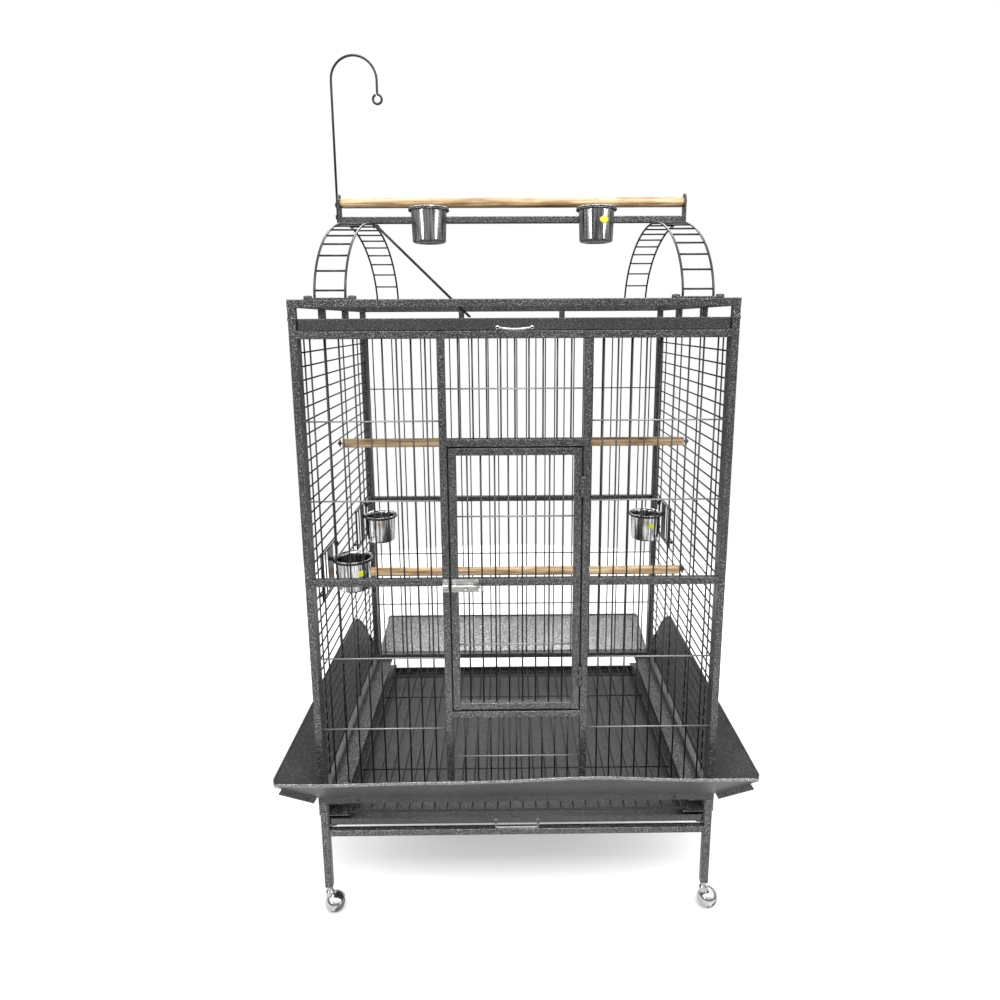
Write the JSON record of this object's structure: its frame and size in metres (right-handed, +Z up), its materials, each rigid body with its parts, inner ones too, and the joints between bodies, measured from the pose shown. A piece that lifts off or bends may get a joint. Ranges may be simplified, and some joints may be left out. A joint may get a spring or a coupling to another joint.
{
  "type": "bird cage on stand",
  "caption": "Rectangular wire bird cage on a rolling stand, with a hinged front door, swing-out feeders, seed guards, slide-out trays and an open play area on its roof.",
  "frame": {"origin": "on the floor under the middle of the cage", "axes": "+Z up, the door side faces -Y, +X to the right seen from the front"},
  "size_m": [1.073, 0.87, 2.0077],
  "materials": {
    "powder_coat": "dark grey hammertone powder coat, semi-gloss",
    "coated_sheet": "grey hammertone powder coat on sheet, semi-gloss",
    "zinc": "bright zinc plate",
    "stainless": "polished stainless steel",
    "caster_chrome": "bright chrome",
    "caster_rubber": "matte black rubber",
    "wood": "plain turned hardwood"
  },
  "bodies": {
    "cage": {"leg_front_left": "powder_coat", "leg_front_right": "powder_coat", "leg_rear_left": "powder_coat", "leg_rear_right": "powder_coat", "stand_rail_front": "powder_coat", "stand_rail_rear": "powder_coat", "stand_rail_left": "powder_coat", "stand_rail_right": "powder_coat", "tray_guide_left": "powder_coat", "tray_guide_right": "powder_coat", "front_panel_left": "powder_coat", "front_panel_right": "powder_coat", "front_panel_over_door": "powder_coat", "front_panel_under_door": "powder_coat", "back_panel": "powder_coat", "left_panel_lower": "powder_coat", "left_panel_upper": "powder_coat", "left_panel_front": "powder_coat", "left_panel_middle": "powder_coat", "left_panel_rear": "powder_coat", "right_panel_lower": "powder_coat", "right_panel_upper": "powder_coat", "right_panel_front": "powder_coat", "right_panel_rear": "powder_coat", "roof_grille": "powder_coat", "seed_guard_front": "coated_sheet", "seed_guard_right": "coated_sheet", "seed_guard_rear": "coated_sheet", "seed_guard_left": "coated_sheet", "playtop_rim": "powder_coat", "ladder_arch_left": "powder_coat", "ladder_arch_right": "powder_coat", "perch_rail": "powder_coat", "toy_hook": "powder_coat", "climbing_ladder": "powder_coat", "top_perch": "wood", "inner_perch_upper": "wood", "inner_perch_lower": "wood"},
    "caster_swivel_front_left": {"caster_hood_front_left": "caster_chrome"},
    "caster_roller_front_left": {"caster_wheel_front_left": "caster_rubber"},
    "caster_swivel_front_right": {"caster_hood_front_right": "caster_chrome"},
    "caster_roller_front_right": {"caster_wheel_front_right": "caster_rubber"},
    "caster_swivel_rear_left": {"caster_hood_rear_left": "caster_chrome"},
    "caster_roller_rear_left": {"caster_wheel_rear_left": "caster_rubber"},
    "caster_swivel_rear_right": {"caster_hood_rear_right": "caster_chrome"},
    "caster_roller_rear_right": {"caster_wheel_rear_right": "caster_rubber"},
    "bottom_tray": {"bottom_tray": "coated_sheet"},
    "floor_grille": {"floor_grille": "powder_coat"},
    "upper_tray": {"upper_tray": "coated_sheet"},
    "door": {"cage_door": "powder_coat", "latch_plate": "zinc"},
    "latch_bolt": {"latch_bolt": "zinc"},
    "feeder_front_left": {"feeder_door_front_left": "powder_coat"},
    "food_cup_front_left": {"food_cup_front_left": "stainless"},
    "feeder_rear_left": {"feeder_door_rear_left": "powder_coat"},
    "food_cup_rear_left": {"food_cup_rear_left": "stainless"},
    "feeder_rear_right": {"feeder_door_rear_right": "powder_coat"},
    "food_cup_rear_right": {"food_cup_rear_right": "stainless"},
    "top_cup_left": {"top_cup_left": "stainless"},
    "top_cup_right": {"top_cup_right": "stainless"}
  },
  "joints": [
    {"name": "caster_swivel_front_left_turn", "type": "hinge", "parent": "cage", "child": "caster_swivel_front_left", "pos_m": [-0.448, -0.3465, 0.05], "axis": [0, 0, 1], "continuous": true},
    {"name": "caster_wheel_front_left_roll", "type": "hinge", "parent": "caster_swivel_front_left", "child": "caster_roller_front_left", "pos_m": [-0.436, -0.3465, 0.02124], "axis": [0, 1, 0], "continuous": true},
    {"name": "caster_swivel_front_right_turn", "type": "hinge", "parent": "cage", "child": "caster_swivel_front_right", "pos_m": [0.448, -0.3465, 0.05], "axis": [0, 0, 1], "continuous": true},
    {"name": "caster_wheel_front_right_roll", "type": "hinge", "parent": "caster_swivel_front_right", "child": "caster_roller_front_right", "pos_m": [0.46, -0.3465, 0.02124], "axis": [0, 1, 0], "continuous": true},
    {"name": "caster_swivel_rear_left_turn", "type": "hinge", "parent": "cage", "child": "caster_swivel_rear_left", "pos_m": [-0.448, 0.3465, 0.05], "axis": [0, 0, 1], "continuous": true},
    {"name": "caster_wheel_rear_left_roll", "type": "hinge", "parent": "caster_swivel_rear_left", "child": "caster_roller_rear_left", "pos_m": [-0.436, 0.3465, 0.02124], "axis": [0, 1, 0], "continuous": true},
    {"name": "caster_swivel_rear_right_turn", "type": "hinge", "parent": "cage", "child": "caster_swivel_rear_right", "pos_m": [0.448, 0.3465, 0.05], "axis": [0, 0, 1], "continuous": true},
    {"name": "caster_wheel_rear_right_roll", "type": "hinge", "parent": "caster_swivel_rear_right", "child": "caster_roller_rear_right", "pos_m": [0.46, 0.3465, 0.02124], "axis": [0, 1, 0], "continuous": true},
    {"name": "bottom_tray_slide", "type": "slide", "parent": "cage", "child": "bottom_tray", "axis": [0, -1, 0], "range_m": [0, 0.65]},
    {"name": "floor_grille_slide", "type": "slide", "parent": "cage", "child": "floor_grille", "axis": [0, -1, 0], "range_m": [0, 0.65]},
    {"name": "upper_tray_slide", "type": "slide", "parent": "cage", "child": "upper_tray", "axis": [0, -1, 0], "range_m": [0, 0.6]},
    {"name": "door_hinge", "type": "hinge", "parent": "cage", "child": "door", "pos_m": [0.14225, -0.3603, 0.829], "axis": [0, 0, 1], "range_deg": [0, 165]},
    {"name": "latch_bolt_slide", "type": "slide", "parent": "door", "child": "latch_bolt", "axis": [-1, 0, 0], "range_m": [0, 0.015]},
    {"name": "feeder_front_left_hinge", "type": "hinge", "parent": "cage", "child": "feeder_front_left", "pos_m": [-0.449, -0.1065, 0.8], "axis": [0, 0, -1], "range_deg": [0, 110]},
    {"name": "food_cup_front_left_lift", "type": "slide", "parent": "feeder_front_left", "child": "food_cup_front_left", "axis": [0, 0, 1], "range_m": [0, 0.09]},
    {"name": "feeder_rear_left_hinge", "type": "hinge", "parent": "cage", "child": "feeder_rear_left", "pos_m": [-0.449, 0.2675, 0.8], "axis": [0, 0, -1], "range_deg": [0, 110]},
    {"name": "food_cup_rear_left_lift", "type": "slide", "parent": "feeder_rear_left", "child": "food_cup_rear_left", "axis": [0, 0, 1], "range_m": [0, 0.09]},
    {"name": "feeder_rear_right_hinge", "type": "hinge", "parent": "cage", "child": "feeder_rear_right", "pos_m": [0.449, 0.2675, 0.8], "axis": [0, 0, 1], "range_deg": [0, 110]},
    {"name": "food_cup_rear_right_lift", "type": "slide", "parent": "feeder_rear_right", "child": "food_cup_rear_right", "axis": [0, 0, 1], "range_m": [0, 0.09]},
    {"name": "top_cup_left_lift", "type": "slide", "parent": "cage", "child": "top_cup_left", "axis": [0, 0, 1], "range_m": [0, 0.09]},
    {"name": "top_cup_right_lift", "type": "slide", "parent": "cage", "child": "top_cup_right", "axis": [0, 0, 1], "range_m": [0, 0.09]}
  ]
}
